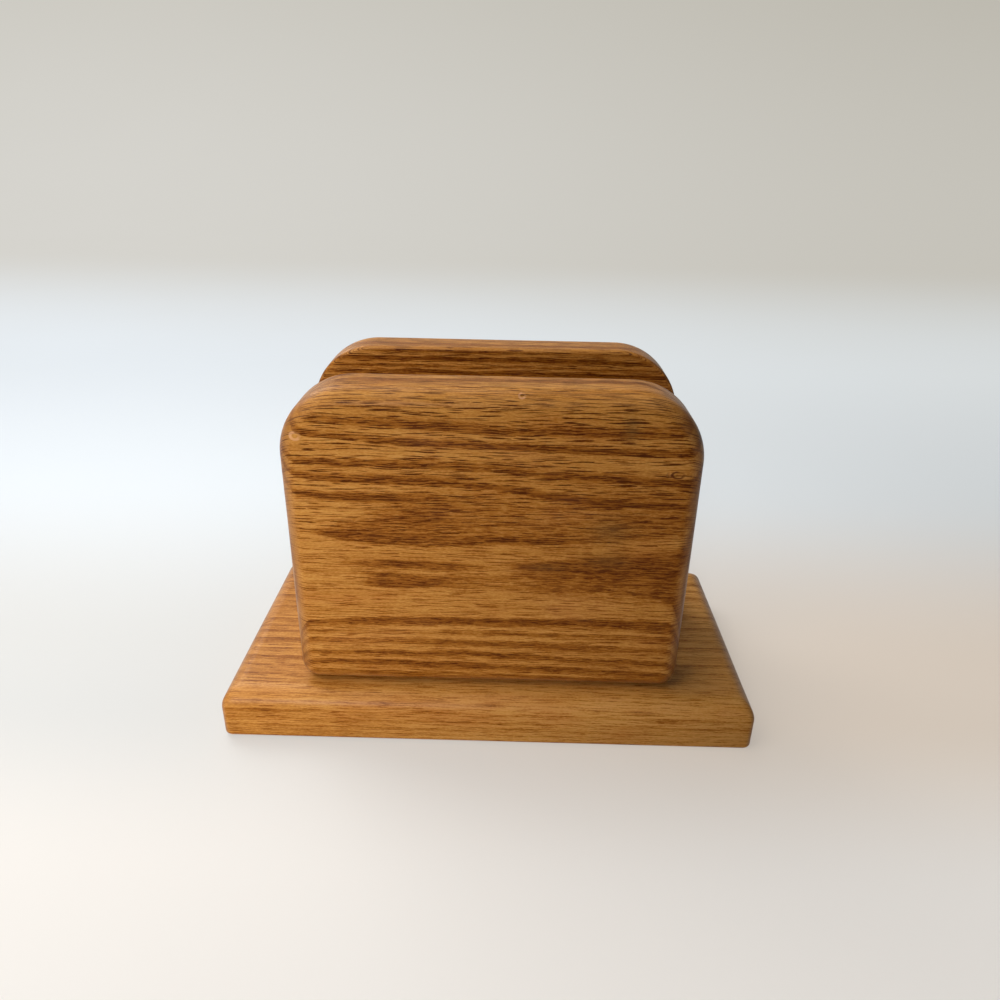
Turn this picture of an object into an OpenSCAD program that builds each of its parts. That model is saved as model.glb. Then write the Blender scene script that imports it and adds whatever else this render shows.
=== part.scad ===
// Upright napkin holder in solid oak: two rounded panels standing on a base board.
// Each panel is glued to the base and held by two wood screws driven up from below.
// Millimetres, +Z up, front towards -Y. The origin is the centre of the underside.

/* [Boards] */
// Thickness of the stock that the base and both panels are cut from
board_t = 19; // [16:0.1:22]

/* [Base board] */
// Width of the base, from left to right
base_w = 190.5; // [155:0.5:260]
// Depth of the base, from front to back
base_d = 98; // [88:0.5:150]
// Round-over along the top edges of the base
base_round = 7.2; // [1:0.1:7.5]
// Eased edge along the bottom edges of the base
base_ease = 1.6; // [0.4:0.1:2.5]
// Radius of the four upright corners of the base
base_corner = 2.7; // [2.5:0.1:10]

/* [Panels] */
// Width of each standing panel
panel_w = 135.5; // [100:0.5:174]
// Height of each standing panel above the base
panel_h = 110; // [70:0.5:170]
// Radius of a panel's two top corners
panel_top_radius = 23.5; // [7:0.5:48]
// Radius of a panel's two bottom corners
panel_foot_radius = 7; // [6.8:0.1:20]
// Round-over along the outer face of a panel
panel_round = 6.6; // [1:0.1:7]
// Eased edge along the inner face of a panel
panel_ease = 1.5; // [0.4:0.1:4]
// Base board showing in front of the front panel
front_margin = 7.8; // [7.6:0.1:17.6]
// Room for the napkins, between the inner faces of the panels
napkin_gap = 34.6; // [15:0.1:44]

/* [Screws] */
// Distance from a panel's end to its screw
screw_inset = 32; // [14:0.5:55]
// Overall length of a screw
screw_len = 38; // [30:0.5:50]
// Share of a screw's length that is threaded
thread_share = 0.66; // [0.62:0.01:0.72]
// Diameter of the plain shank under the head
shank_d = 4.2; // [3.8:0.1:4.6]
// Outer diameter of the thread
thread_d = 4.1; // [3.6:0.1:4.6]
// Diameter of the core between the threads
core_d = 2.9; // [2.4:0.1:3.3]
// Distance from one turn of the thread to the next
thread_pitch = 2.8; // [2:0.1:3.5]
// Length of the tapered point
point_len = 4; // [3:0.25:6]
// Diameter of the flat head
head_d = 8.2; // [7:0.1:9.5]
// Height of the head's plain rim
head_rim = 0.4; // [0.2:0.05:0.8]
// Depth of the head below the underside of the base
head_depth = 1.5; // [0.5:0.1:2]
// Width across the arms of the cross recess
recess_w = 4.4; // [3.6:0.1:5]
// Width of one arm of the cross recess
recess_slot = 1.1; // [0.8:0.1:1.4]
// Depth of the cross recess
recess_depth = 2; // [1.2:0.1:2.2]

/* [Hidden] */

// Clearance of a shank in its hole through the base, on the radius
shank_clearance = 0.3;
// Clearance round the rim of a head in its pocket, on the radius
head_clearance = 0.15;
// Clearance of a thread in its bore, on the radius
thread_clearance = 0.05;
// Flat on the crest of each turn of the thread
thread_crest = 0.2;
// Radius left at the very tip of the point
point_r = 0.25;
// Radius at the bottom of the cross recess
recess_floor_r = 0.8;
// Run of every cut past the face that it leaves
overrun = 1;
// Included angles of the flat head and of the drill that made the bores, in degrees
head_angle = 82;
drill_angle = 118;

// Outer faces of the two panels, and the places of the screws in them
front_y = front_margin - base_d / 2;
rear_y = front_y + board_t + napkin_gap + board_t;
screw_x = panel_w / 2 - screw_inset;

// Heights within a screw, from the flat of its head
cone_z = head_rim + (head_d - shank_d) / 2 / tan(head_angle / 2);
thread_z = screw_len * (1 - thread_share);
point_z = screw_len - point_len;
thread_turns = floor((point_z - thread_z) / thread_pitch);

// The holes that a screw runs in
pocket_r = head_d / 2 + head_clearance;
shank_hole_r = shank_d / 2 + shank_clearance;
thread_hole_r = thread_d / 2 + thread_clearance;
bore_end = head_depth + screw_len;

oak = [0.69, 0.46, 0.23];
zinc = [0.74, 0.73, 0.70];
$fn = 96;

// Height above the underside at which the cone under a seated head has radius r
function seat_z(r) = head_depth + head_rim + (head_d / 2 - r) / tan(head_angle / 2);

// What a radius takes off a square corner at the origin that opens towards +X and +Y
module corner_waste(r) {
    difference() {
        translate([-overrun, -overrun]) square(r + overrun);
        translate([r, r]) circle(r);
    }
}

// Section through a board's edge. X runs outwards and ends at reach, Y runs through
// the thickness; low_r rounds the outer edge at 0 and high_r the one at the full height.
module edge_section(reach, low_r, high_r) {
    difference() {
        square([reach, board_t]);
        translate([reach, 0]) rotate(90) corner_waste(low_r);
        translate([reach, board_t]) rotate(180) corner_waste(high_r);
    }
}

// Edge section turned a quarter about its inner side, between +X and +Y
module turned_edge(reach, low_r, high_r) {
    rotate_extrude(angle = 90) edge_section(reach, low_r, high_r);
}

// Edge section run along +Y, its outer edge towards +X
module straight_edge(length, reach, low_r, high_r) {
    translate([0, length, 0]) rotate([90, 0, 0])
        linear_extrude(height = length) edge_section(reach, low_r, high_r);
}

// A panel lying on its outer face, its foot along y = 0, before it is bored
module panel_blank() {
    top_x = panel_w / 2 - panel_top_radius;
    top_y = panel_h - panel_top_radius;
    foot_x = panel_w / 2 - panel_foot_radius;
    side_len = top_y - panel_foot_radius;

    translate([-foot_x, panel_foot_radius, 0]) cube([2 * foot_x, side_len, board_t]);
    translate([top_x, top_y, 0]) rotate(90)
        straight_edge(2 * top_x, panel_top_radius, panel_round, panel_ease);
    translate([-foot_x, panel_foot_radius, 0]) rotate(-90)
        straight_edge(2 * foot_x, panel_foot_radius, panel_round, panel_ease);
    for (side = [0, 1]) mirror([side, 0, 0]) {
        translate([top_x, top_y, 0])
            turned_edge(panel_top_radius, panel_round, panel_ease);
        translate([foot_x, panel_foot_radius, 0]) {
            straight_edge(side_len, panel_foot_radius, panel_round, panel_ease);
            rotate(-90) turned_edge(panel_foot_radius, panel_round, panel_ease);
        }
    }
}

// Bores for the two screws of a panel, from its foot upwards
module panel_bores() {
    for (x = [-screw_x, screw_x])
        translate([x, board_t / 2, 0]) rotate_extrude() polygon([
            [0, board_t - overrun], [thread_hole_r, board_t - overrun],
            [thread_hole_r, bore_end], [0, bore_end + thread_hole_r / tan(drill_angle / 2)]
        ]);
}

// A bored panel standing on the base, outer face on the plane y = 0 and facing -Y
module panel() {
    difference() {
        translate([0, 0, board_t]) mirror([0, 1, 0]) rotate([90, 0, 0]) panel_blank();
        panel_bores();
    }
}

// Profile across the base within its upright corners, for one of its two directions
module core_profile(size) {
    inner = size / 2 - base_corner;
    intersection() {
        for (side = [0, 1]) mirror([side, 0]) edge_section(size / 2, base_ease, base_round);
        translate([-inner, 0]) square([2 * inner, board_t]);
    }
}

// Base board before it is drilled; the round-overs meet in mitres at its corners
module base_blank() {
    inner_x = base_w / 2 - base_corner;
    inner_y = base_d / 2 - base_corner;

    intersection() {
        translate([0, inner_y, 0]) rotate([90, 0, 0])
            linear_extrude(height = 2 * inner_y) core_profile(base_w);
        translate([-inner_x, 0, 0]) rotate([90, 0, 90])
            linear_extrude(height = 2 * inner_x) core_profile(base_d);
    }
    for (turn = [0, 180]) rotate(turn) {
        translate([inner_x, -inner_y, 0])
            straight_edge(2 * inner_y, base_corner, base_ease, base_round);
        translate([inner_x, inner_y, 0]) rotate(90)
            straight_edge(2 * inner_x, base_corner, base_ease, base_round);
    }
    for (side_x = [0, 1], side_y = [0, 1]) mirror([side_x, 0, 0]) mirror([0, side_y, 0])
        translate([inner_x, inner_y, 0]) turned_edge(base_corner, base_ease, base_round);
}

// Hole for one screw through the base: pocket, seat for the head and shank hole
module base_hole() {
    rotate_extrude() polygon([
        [0, -overrun], [pocket_r, -overrun], [pocket_r, seat_z(pocket_r)],
        [shank_hole_r, seat_z(shank_hole_r)], [shank_hole_r, board_t + overrun],
        [0, board_t + overrun]
    ]);
}

// Flat-head wood screw, head down on the plane z = 0, with its cross recess
module screw() {
    difference() {
        rotate_extrude() polygon(concat(
            [[0, 0], [head_d / 2, 0], [head_d / 2, head_rim], [shank_d / 2, cone_z],
             [shank_d / 2, thread_z]],
            [for (turn = [0:thread_turns - 1], step = [0:2])
                let (low = thread_z + turn * thread_pitch, crest = low + thread_pitch / 2)
                step == 0 ? [core_d / 2, low]
                    : [thread_d / 2, crest + (step - 1.5) * thread_crest]],
            [[core_d / 2, thread_z + thread_turns * thread_pitch],
             [core_d / 2, point_z], [point_r, screw_len], [0, screw_len]]
        ));
        intersection() {
            translate([0, 0, -overrun]) {
                cylinder(h = overrun, d = recess_w);
                translate([0, 0, overrun])
                    cylinder(h = recess_depth, r1 = recess_w / 2, r2 = recess_floor_r);
            }
            for (turn = [0, 90]) rotate(turn)
                translate([-recess_w / 2, -recess_slot / 2, -overrun])
                    cube([recess_w, recess_slot, overrun + recess_depth]);
        }
    }
}

module base_board() {
    color(oak) difference() {
        base_blank();
        for (x = [-screw_x, screw_x], y = [front_y + board_t / 2, rear_y - board_t / 2])
            translate([x, y, 0]) base_hole();
    }
}

module front_panel() {
    color(oak) translate([0, front_y, 0]) panel();
}

// The same board as the front panel, turned round
module rear_panel() {
    color(oak) translate([0, rear_y, 0]) rotate(180) panel();
}

// Screw in its place; x and y are those of its centre line
module placed_screw(x, y) {
    color(zinc) translate([x, y, head_depth]) screw();
}

module front_left_screw() {
    placed_screw(-screw_x, front_y + board_t / 2);
}

module front_right_screw() {
    placed_screw(screw_x, front_y + board_t / 2);
}

module rear_left_screw() {
    placed_screw(-screw_x, rear_y - board_t / 2);
}

module rear_right_screw() {
    placed_screw(screw_x, rear_y - board_t / 2);
}

base_board();
front_panel();
rear_panel();
front_left_screw();
front_right_screw();
rear_left_screw();
rear_right_screw();
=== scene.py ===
"""Looks of the upright oak napkin holder: boards, wood screws, pale floor, light and camera."""

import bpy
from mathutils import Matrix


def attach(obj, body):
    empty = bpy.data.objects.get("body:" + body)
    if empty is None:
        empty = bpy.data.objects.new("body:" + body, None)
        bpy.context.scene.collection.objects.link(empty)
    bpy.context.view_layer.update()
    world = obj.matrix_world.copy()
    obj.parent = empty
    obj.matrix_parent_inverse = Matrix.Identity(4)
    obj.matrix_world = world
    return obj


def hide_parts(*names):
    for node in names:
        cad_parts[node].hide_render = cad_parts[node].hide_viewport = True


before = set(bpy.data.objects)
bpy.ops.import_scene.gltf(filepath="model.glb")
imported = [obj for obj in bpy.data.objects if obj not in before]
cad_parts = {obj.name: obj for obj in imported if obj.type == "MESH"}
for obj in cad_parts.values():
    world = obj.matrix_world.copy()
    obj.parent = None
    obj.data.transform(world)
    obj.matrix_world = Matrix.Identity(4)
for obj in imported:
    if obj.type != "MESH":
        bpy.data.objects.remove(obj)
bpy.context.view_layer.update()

import logging
import math
from dataclasses import dataclass
from enum import Enum
from typing import Callable, Mapping, Optional, Sequence, Tuple, Union

import bmesh
import bpy
from mathutils import Matrix, Vector

LOG = logging.getLogger("napkin_holder")
MM = 0.001
NEAR = 1e-6  # places closer together than this, in metres, are one
Colour = Tuple[float, float, float, float]
Stops = Sequence[Tuple[float, Colour]]
Point = Tuple[float, float, float]
BLACK: Colour = (0.0, 0.0, 0.0, 1.0)


def stain(red: int, green: int, blue: int) -> Colour:
    """Turns a colour as the eye reads it into the shader's linear one.

    Args:
        red: Red, 0 to 255.
        green: Green, 0 to 255.
        blue: Blue, 0 to 255.

    Returns:
        The linear colour with full alpha.
    """

    def linear(level: int) -> float:
        """Undoes the display curve of one level."""
        share = level / 255
        return share / 12.92 if share <= 0.04045 else ((share + 0.055) / 1.055) ** 2.4

    return linear(red), linear(green), linear(blue), 1.0


class Axis(Enum):
    """A direction of the row frame, by its place in a vector."""

    X = 0
    Y = 1
    Z = 2


class Face(Enum):
    """Which way a panel shows its outer face, as a sign along Y."""

    FRONT = -1
    REAR = 1


# Shader expressions


class Wire:
    """An output socket that is used like a number: an expression adds its Math nodes."""

    def __init__(self, graph: "NodeGraph", socket: bpy.types.NodeSocket) -> None:
        """Keeps the socket and the node graph that it is on."""
        self.graph = graph
        self.socket = socket

    def _math(self, operation: str, *values: "Value") -> "Wire":
        """Adds one Math node over the values."""
        node = self.graph.add("ShaderNodeMath", {"operation": operation}, dict(enumerate(values)))
        return Wire(self.graph, node.outputs[0])

    def __add__(self, other: "Value") -> "Wire":
        """self + other."""
        return self._math("ADD", self, other)

    __radd__ = __add__

    def __sub__(self, other: "Value") -> "Wire":
        """self - other."""
        return self._math("SUBTRACT", self, other)

    def __rsub__(self, other: "Value") -> "Wire":
        """other - self."""
        return self._math("SUBTRACT", other, self)

    def __mul__(self, other: "Value") -> "Wire":
        """self * other."""
        return self._math("MULTIPLY", self, other)

    __rmul__ = __mul__

    def __truediv__(self, other: "Value") -> "Wire":
        """self / other."""
        return self._math("DIVIDE", self, other)

    def root(self) -> "Wire":
        """Square root."""
        return self._math("SQRT", self)

    def fraction(self) -> "Wire":
        """What is left over a whole number."""
        return self._math("FRACT", self)

    def size(self) -> "Wire":
        """Absolute value."""
        return self._math("ABSOLUTE", self)

    def most(self, other: "Value") -> "Wire":
        """The larger of the two."""
        return self._math("MAXIMUM", self, other)

    def exp(self) -> "Wire":
        """e to the power of self."""
        return self._math("EXPONENT", self)

    def swing(self, weight: float) -> "Wire":
        """A noise about its middle value, times a weight."""
        return (self - 0.5) * weight

    def step(self, start: "Value", end: "Value") -> "Wire":
        """Smooth step: 0 at start and 1 at end, which may lie either way round.

        Args:
            start: Where the step is 0.
            end: Where the step is 1.

        Returns:
            The step, from 0 to 1.
        """
        node = self.graph.add(
            "ShaderNodeMapRange",
            {"interpolation_type": "SMOOTHSTEP"},
            {"Value": self, "From Min": start, "From Max": end},
        )
        return Wire(self.graph, node.outputs["Result"])


Value = Union[Wire, float, int]
Triple = Tuple[Wire, Wire, Wire]


class NodeGraph:
    """The node tree of a material or a world, with a method for each kind of step."""

    def __init__(self, owner: Union[bpy.types.Material, bpy.types.World]) -> None:
        """Takes over the owner's node tree, emptied.

        Args:
            owner: The material or the world.
        """
        self.owner = owner
        owner.use_nodes = True
        self.tree = owner.node_tree
        self.tree.nodes.clear()

    def add(
        self,
        kind: str,
        settings: Optional[Mapping[str, object]] = None,
        sockets: Optional[Mapping[Union[str, int], object]] = None,
    ) -> bpy.types.Node:
        """Adds a node, sets it and wires it.

        Args:
            kind: The node's type.
            settings: Its properties, which are set first; stops are a ramp's.
            sockets: Its inputs by name or place, each a value or a wire.

        Returns:
            The node.
        """
        node = self.tree.nodes.new(kind)
        for name, value in (settings or {}).items():
            if name == "stops":
                self._set_stops(node, value)
            else:
                setattr(node, name, value)
        for key, value in (sockets or {}).items():
            if isinstance(value, Wire):
                self.tree.links.new(value.socket, node.inputs[key])
            else:
                node.inputs[key].default_value = value
        return node

    @staticmethod
    def _set_stops(node: bpy.types.Node, stops: Stops) -> None:
        """Gives a colour ramp its stops.

        Args:
            node: The ramp.
            stops: Place and colour of each stop, in rising order.
        """
        elements = node.color_ramp.elements
        while len(elements) > 1:
            elements.remove(elements[-1])
        elements[0].position, elements[0].color = stops[0]
        for place, colour in stops[1:]:
            elements.new(place).color = colour

    def out(self, node: bpy.types.Node, key: Union[str, int] = 0) -> Wire:
        """Wraps one output of a node."""
        return Wire(self, node.outputs[key])

    def place(self) -> Triple:
        """Finds the place that is shaded.

        Returns:
            Its object coordinates in millimetres.
        """
        coords = self.add("ShaderNodeTexCoord")
        sockets = {0: self.out(coords, "Object"), "Scale": 1 / MM}
        scaled = self.add("ShaderNodeVectorMath", {"operation": "SCALE"}, sockets)
        return self.split(self.out(scaled))

    def split(self, vector: Wire) -> Triple:
        """The three parts of a vector."""
        node = self.add("ShaderNodeSeparateXYZ", None, {0: vector})
        return self.out(node, 0), self.out(node, 1), self.out(node, 2)

    def channels(self, colour: Wire) -> Triple:
        """The red, green and blue of a colour."""
        node = self.add("ShaderNodeSeparateColor", None, {0: colour})
        return self.out(node, 0), self.out(node, 1), self.out(node, 2)

    def join(self, x: Value, y: Value, z: Value) -> Wire:
        """A vector of three parts."""
        return self.out(self.add("ShaderNodeCombineXYZ", None, {0: x, 1: y, 2: z}))

    def noise(self, at: Wire, detail: float = 2.0, rough: float = 0.5) -> Wire:
        """Smooth noise from 0 to 1, about 0.5 on average.

        Args:
            at: Where, in the noise's own cells.
            detail: How many finer layers lie on it.
            rough: How strong each finer layer is.

        Returns:
            The noise.
        """
        node = self.add(
            "ShaderNodeTexNoise",
            {"noise_dimensions": "3D"},
            {"Vector": at, "Scale": 1.0, "Detail": detail, "Roughness": rough},
        )
        return self.out(node, 0)

    def cells(self, at: Wire, dimensions: str = "2D") -> bpy.types.Node:
        """Scattered cells, each with a centre and a colour of its own.

        Args:
            at: Where, in cells.
            dimensions: 2D, which leaves Z out, or 3D.

        Returns:
            The node, with the distance to the nearest centre, that centre and its colour.
        """
        return self.add(
            "ShaderNodeTexVoronoi",
            {"voronoi_dimensions": dimensions, "feature": "F1"},
            {"Vector": at, "Scale": 1.0},
        )

    def ramp(self, at: Wire, stops: Stops) -> Wire:
        """The colour of a ramp at a value from 0 to 1."""
        return self.out(self.add("ShaderNodeValToRGB", {"stops": stops}, {0: at}))

    def blend(self, share: Value, first: object, second: object, mode: str = "MIX") -> Wire:
        """Mixes two colours.

        Args:
            share: How much of the second there is, 0 to 1.
            first: A colour or a wire.
            second: A colour or a wire.
            mode: The way the second lies on the first.

        Returns:
            The mixed colour.
        """
        node = self.add(
            "ShaderNodeMix",
            {"data_type": "RGBA", "blend_type": mode, "clamp_factor": True},
            {0: share, 6: first, 7: second},
        )
        return self.out(node, 2)

    def finish(
        self, sockets: Mapping[str, object], height: Wire, depth: float
    ) -> bpy.types.Material:
        """Ends the tree in one Principled shader with a bump.

        Args:
            sockets: The shader's inputs by name.
            height: The relief, 0 to 1.
            depth: How far the relief reaches, in metres.

        Returns:
            The finished material.
        """
        relief = {"Strength": 1.0, "Distance": depth, "Height": height}
        bump = self.out(self.add("ShaderNodeBump", None, relief))
        shader = self.add("ShaderNodeBsdfPrincipled", None, {**sockets, "Normal": bump})
        self.add("ShaderNodeOutputMaterial", None, {"Surface": self.out(shader)})
        return self.owner


@dataclass(frozen=True)
class Fade:
    """A smooth change from one result to another.

    Attributes:
        start: The value at which the result is still low.
        end: The value at which it has become high; it may lie below start.
        low: The result up to the start.
        high: The result from the end on.
    """

    start: float
    end: float
    low: float = 0.0
    high: float = 1.0

    def of(self, value: Wire) -> Wire:
        """Reads the change at a value.

        Args:
            value: The value.

        Returns:
            The result.
        """
        result = value.step(self.start, self.end)
        if self.high - self.low != 1.0:
            result = result * (self.high - self.low)
        return result + self.low if self.low else result


@dataclass(frozen=True)
class Grain:
    """A noise that is stretched along the grain of a board.

    Attributes:
        cells: Cells per millimetre along, across and into the board.
        shift: How often the board's seed is added to each of the three.
        detail: How many finer layers lie on it.
        rough: How strong each finer layer is.
    """

    cells: Point
    shift: Point
    detail: float = 2.0
    rough: float = 0.5

    def at(self, graph: NodeGraph, place: Triple, seed: float) -> Wire:
        """Reads the noise.

        Args:
            graph: The material's nodes.
            place: Place along, across and into the board, in mm.
            seed: The board's seed.

        Returns:
            The noise, from 0 to 1.
        """
        parts = [
            part * cells + seed * shift if shift else part * cells
            for part, cells, shift in zip(place, self.cells, self.shift)
        ]
        return graph.noise(graph.join(*parts), self.detail, self.rough)


# What shows on a board


@dataclass(frozen=True)
class Streak:
    """A dark band of early wood that was drawn on a board's outer face, in mm.

    Each stop holds a place along the grain, the height of the band's sharp edge, the
    height where it has faded out, and its strength from 0 to 1.
    """

    stops: Tuple[Tuple[float, float, float, float], ...]


@dataclass(frozen=True)
class Banding:
    """Bands of early wood that run straight along a board, in mm.

    Each band holds the place of its sharp upper edge, how far down it has faded out, and
    its strength from 0 to 1. The sharp edge is as wide as sharp, and the ramp that holds
    the bands reaches past them by margin.
    """

    bands: Tuple[Tuple[float, float, float], ...]
    sharp: float = 0.5
    margin: float = 1.0


@dataclass(frozen=True)
class Smudge:
    """A soft dark spot: its centre and half sizes on a face, in mm, and its strength."""

    along: float
    across: float
    half_length: float
    half_height: float
    strength: float


@dataclass(frozen=True)
class Ring:
    """A small round mark: a thin oval line, open on one side, that is dark or pale. A pale one is
    a nick with a painted highlight on its rim.
    """

    along: float
    across: float
    half_length: float
    half_height: float
    line: float
    strength: float
    pale: bool = False


@dataclass(frozen=True)
class Sawing:
    """How one board was cut from its log, and what shows on it. Lengths are in mm.

    Attributes:
        across: The axis across the board's width. The grain runs along X.
        across_zero: Where places across are counted from.
        deep: The axis through the thickness.
        deep_zero: Where the outer face lies on it.
        deep_sign: Which way depth is counted on it, 1 or -1.
        heart_deep: Depth of the log's heart below the outer face.
        heart_across: Place of the log's heart across the board.
        fan_across: Place across from which the dashes fan out.
        year: How thick a year's growth is.
        seed: Shifts every noise, so that no two boards are alike.
        tone: How much darker the board is.
        dash_low: Strength of the rays' dashes on the lower part.
        dash_high: Strength of the rays' dashes on the upper part.
        figure: Early wood that was drawn on the outer face.
        banding: Early wood that runs straight.
        smudges: Grey stains on the outer face.
        rings: Small round marks on the outer face.
        flecks: Dark flecks on one narrow side, by place along and depth.
        fleck_side: Place across where that side begins.
        fan_deep: Depth at which the dashes would meet.
        sheen: How much more varnish shines on what faces up.
        dark_end: How much darker the left end is.
    """

    across: Axis
    across_zero: float
    deep: Axis
    deep_zero: float
    deep_sign: float
    heart_deep: float
    heart_across: float
    fan_across: float
    year: float
    seed: float
    tone: float
    dash_low: float
    dash_high: float
    figure: Tuple[Streak, ...] = ()
    banding: Tuple[Banding, ...] = ()
    smudges: Tuple[Smudge, ...] = ()
    rings: Tuple[Ring, ...] = ()
    flecks: Tuple[Smudge, ...] = ()
    fleck_side: float = 0.0
    fan_deep: float = 60.0
    sheen: float = 0.05
    dark_end: float = 0.0


# Finishes


@dataclass(frozen=True)
class DashLayer:
    """One scatter of thin dark dashes along the grain. Lengths are in mm.

    Attributes:
        length: Length of the cells that hold a dash each.
        pitch: Their height.
        half_length: Half the length of a dash, before its own luck.
        half_width: Half its width, before its own luck.
        share: The share of the cells whose dash shows.
        shift: Sets the layer apart from the others.
    """

    length: float
    pitch: float
    half_length: float
    half_width: float
    share: float
    shift: float


@dataclass(frozen=True)
class Wood:
    """What the wood is like at a place. Each wire goes from 0 to 1.

    early is the porous early wood; rays and pores are dashes, the pores with round pits on
    the end grain. turned says how far the surface turns towards a board's end, edge how
    far it turns away from all three axes, and up how far it faces up.
    """

    early: Wire
    rays: Wire
    pores: Wire
    fibre: Wire
    turned: Wire
    edge: Wire
    up: Wire


@dataclass(frozen=True)
class OakFinish:
    """Red oak, plain sawn, with a honey-brown stain under satin varnish.

    Places are in mm. The weights that end in _dark say how much a thing darkens the wood,
    on the scale of shades; those that end in _share say how much of a colour is mixed in.
    """

    sawing: Sawing
    name: str
    shades: Stops = (
        (0.0, stain(203, 150, 80)),
        (0.16, stain(189, 131, 61)),
        (0.34, stain(159, 100, 34)),
        (0.56, stain(127, 70, 12)),
        (0.8, stain(99, 49, 3)),
        (1.0, stain(76, 34, 0)),
    )
    amber: Colour = stain(206, 138, 62)
    rose: Colour = stain(186, 122, 78)
    grey: Colour = stain(92, 74, 42)
    # Pale rose on the rounded edges: partly wear, partly a painted sheen
    rub_and_sheen: Colour = stain(220, 164, 108)
    # Round-overs turned towards the ends: end grain that takes more stain, and painted shade of
    # the rounded sides
    end_stain_and_shade: Colour = stain(112, 70, 42)
    # The pale rings: a nick's pale wood with a painted highlight on its rim
    pale_nick_and_highlight: Colour = stain(222, 168, 124)
    bruise: Colour = stain(84, 40, 14)
    # How far the ramps of drawn bands reach, along and across
    span: float = 190.0
    reach: float = 200.0
    # How far the years wander: plain ones, straight bands, all in waves, and finely
    sway: float = 5.0
    bow: float = 4.0
    ripple: float = 1.1
    fray: float = 1.5
    broad: Grain = Grain((0.011, 0.021, 0.02), (1, 0, 1), 1.0)
    wave: Grain = Grain((0.035, 0.09, 0.09), (1, 1, 0))
    fine: Grain = Grain((0.14, 1.1, 1.1), (0, 1, 1))
    # The edges of a drawn band and of a plain year, and each year's luck
    band_sharp: Fade = Fade(-0.12, 0.12)
    band_soft: Fade = Fade(1.0, 0.3)
    year_sharp: Fade = Fade(0.0, 0.1)
    year_soft: Fade = Fade(0.75, 0.15)
    year_luck: Fade = Fade(0.25, 0.65)
    year_cells: float = 0.73
    # Which side of the heart a place is on, and where drawn bands give way to plain years
    side: Fade = Fade(-0.5, 0.5, -1.0, 1.0)
    inside: Fade = Fade(40.0, -160.0)
    # How early wood breaks up, and the soft rim of the side with flecks
    mottle: Grain = Grain((0.07, 0.9, 0.9), (1, 0, 0))
    mottled: Fade = Fade(0.3, 0.68, 0.6, 1.0)
    fleck_rim: float = 4.0
    rays: Tuple[DashLayer, ...] = (
        DashLayer(9.0, 1.0, 4.7, 0.185, 0.95, 41.3),
        DashLayer(13.0, 1.5, 7.2, 0.2, 0.9, 77.2),
    )
    pores: Tuple[DashLayer, ...] = (
        DashLayer(6.0, 0.72, 3.3, 0.17, 0.95, 3.1),
        DashLayer(4.4, 0.9, 2.4, 0.2, 0.9, 17.7),
    )
    # Dashes: how they wander, their rim, and the least and the spread of size and strength
    wobble_cells: Tuple[float, float] = (0.045, 0.2)
    wobble: float = 2.2
    dash_rim: Fade = Fade(1.1, 0.65)
    dash_lengths: Tuple[float, float] = (0.4, 0.75)
    dash_widths: Tuple[float, float] = (0.6, 0.6)
    dash_strengths: Tuple[float, float] = (0.5, 0.5)
    share_rim: float = 0.05
    # How the rays change over the board's width
    rays_up: Fade = Fade(0.0, 46.0)
    rays_top: Fade = Fade(50.0, 66.0, 0.0, 0.5)
    # How the surface lies, from its normal
    end: Fade = Fade(0.72, 0.97)
    turned: Fade = Fade(0.15, 0.85)
    edge: Fade = Fade(0.99, 0.86)
    up: Fade = Fade(0.8, 1.0)
    # Round pits on the end grain, and how much of the rays they take
    pit_cells: float = 1.7
    pit: Fade = Fade(0.4, 0.2)
    end_rays: float = 0.55
    # What varies the tone, from the finest to the broadest, and the two for edge wear with its
    # painted sheen, and for varnish
    fibre: Grain = Grain((0.12, 2.6, 2.6), (0, 1, 0), 2.0, 0.6)
    grit: Grain = Grain((0.9, 3.4, 3.4), (1, 0, 1), 1.0)
    streak: Grain = Grain((0.016, 0.3, 0.3), (0, 1, 0))
    cloud: Grain = Grain((0.02, 0.05, 0.05), (1, 0, 0))
    rub_and_sheen_grain: Grain = Grain((0.05, 0.12, 0.12), (0, 1, 0), 3.0, 0.6)
    peel: Grain = Grain((0.7, 0.9, 0.9), (0, 0, 0))
    # How dark the wood is, and how much of each colour lies on it
    early_dark: float = 0.37
    ray_dark: float = 0.6
    pore_dark: float = 0.68
    grit_breaks: Fade = Fade(0.25, 0.6, 0.7, 1.1)
    fibre_dark: float = 0.32
    grit_dark: float = 0.36
    streak_dark: float = 0.35
    ground_dark: float = 0.12
    left_end: Fade = Fade(-10.0, -90.0)
    amber_share: Fade = Fade(0.55, 0.8, 0.0, 0.35)
    rose_share: Fade = Fade(0.45, 0.2, 0.0, 0.18)
    # How much end stain and painted shade lies on the turned round-overs
    end_stain_and_shade_share: float = 0.54
    # How much of the worn edges' painted sheen is mixed in
    rub_and_sheen_share: float = 0.18
    rub_and_sheen_patch: Fade = Fade(0.3, 0.65)
    # The open side of a round mark, and how sharp its line is
    ring_open: Fade = Fade(0.9, 0.2, 0.25, 1.0)
    ring_tilt: float = 0.6
    ring_core: float = 0.4
    # Roughness: of plain wood, and what each thing adds or takes off
    matt: float = 0.4
    pore_matt: float = 0.2
    ray_matt: float = 0.08
    fibre_matt: float = 0.12
    edge_gloss: float = 0.08
    # Relief: the level of plain wood, and how far each thing sinks or rises
    level: float = 0.7
    pore_sink: float = 0.5
    ray_sink: float = 0.2
    fibre_rise: float = 0.25
    peel_rise: float = 0.45
    relief: float = 0.1 * MM
    # Varnish
    coat: float = 0.05
    turned_coat: float = 0.1
    pore_coat: float = 0.03
    coat_rough: float = 0.34
    coat_index: float = 1.5
    specular: float = 0.06

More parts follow.
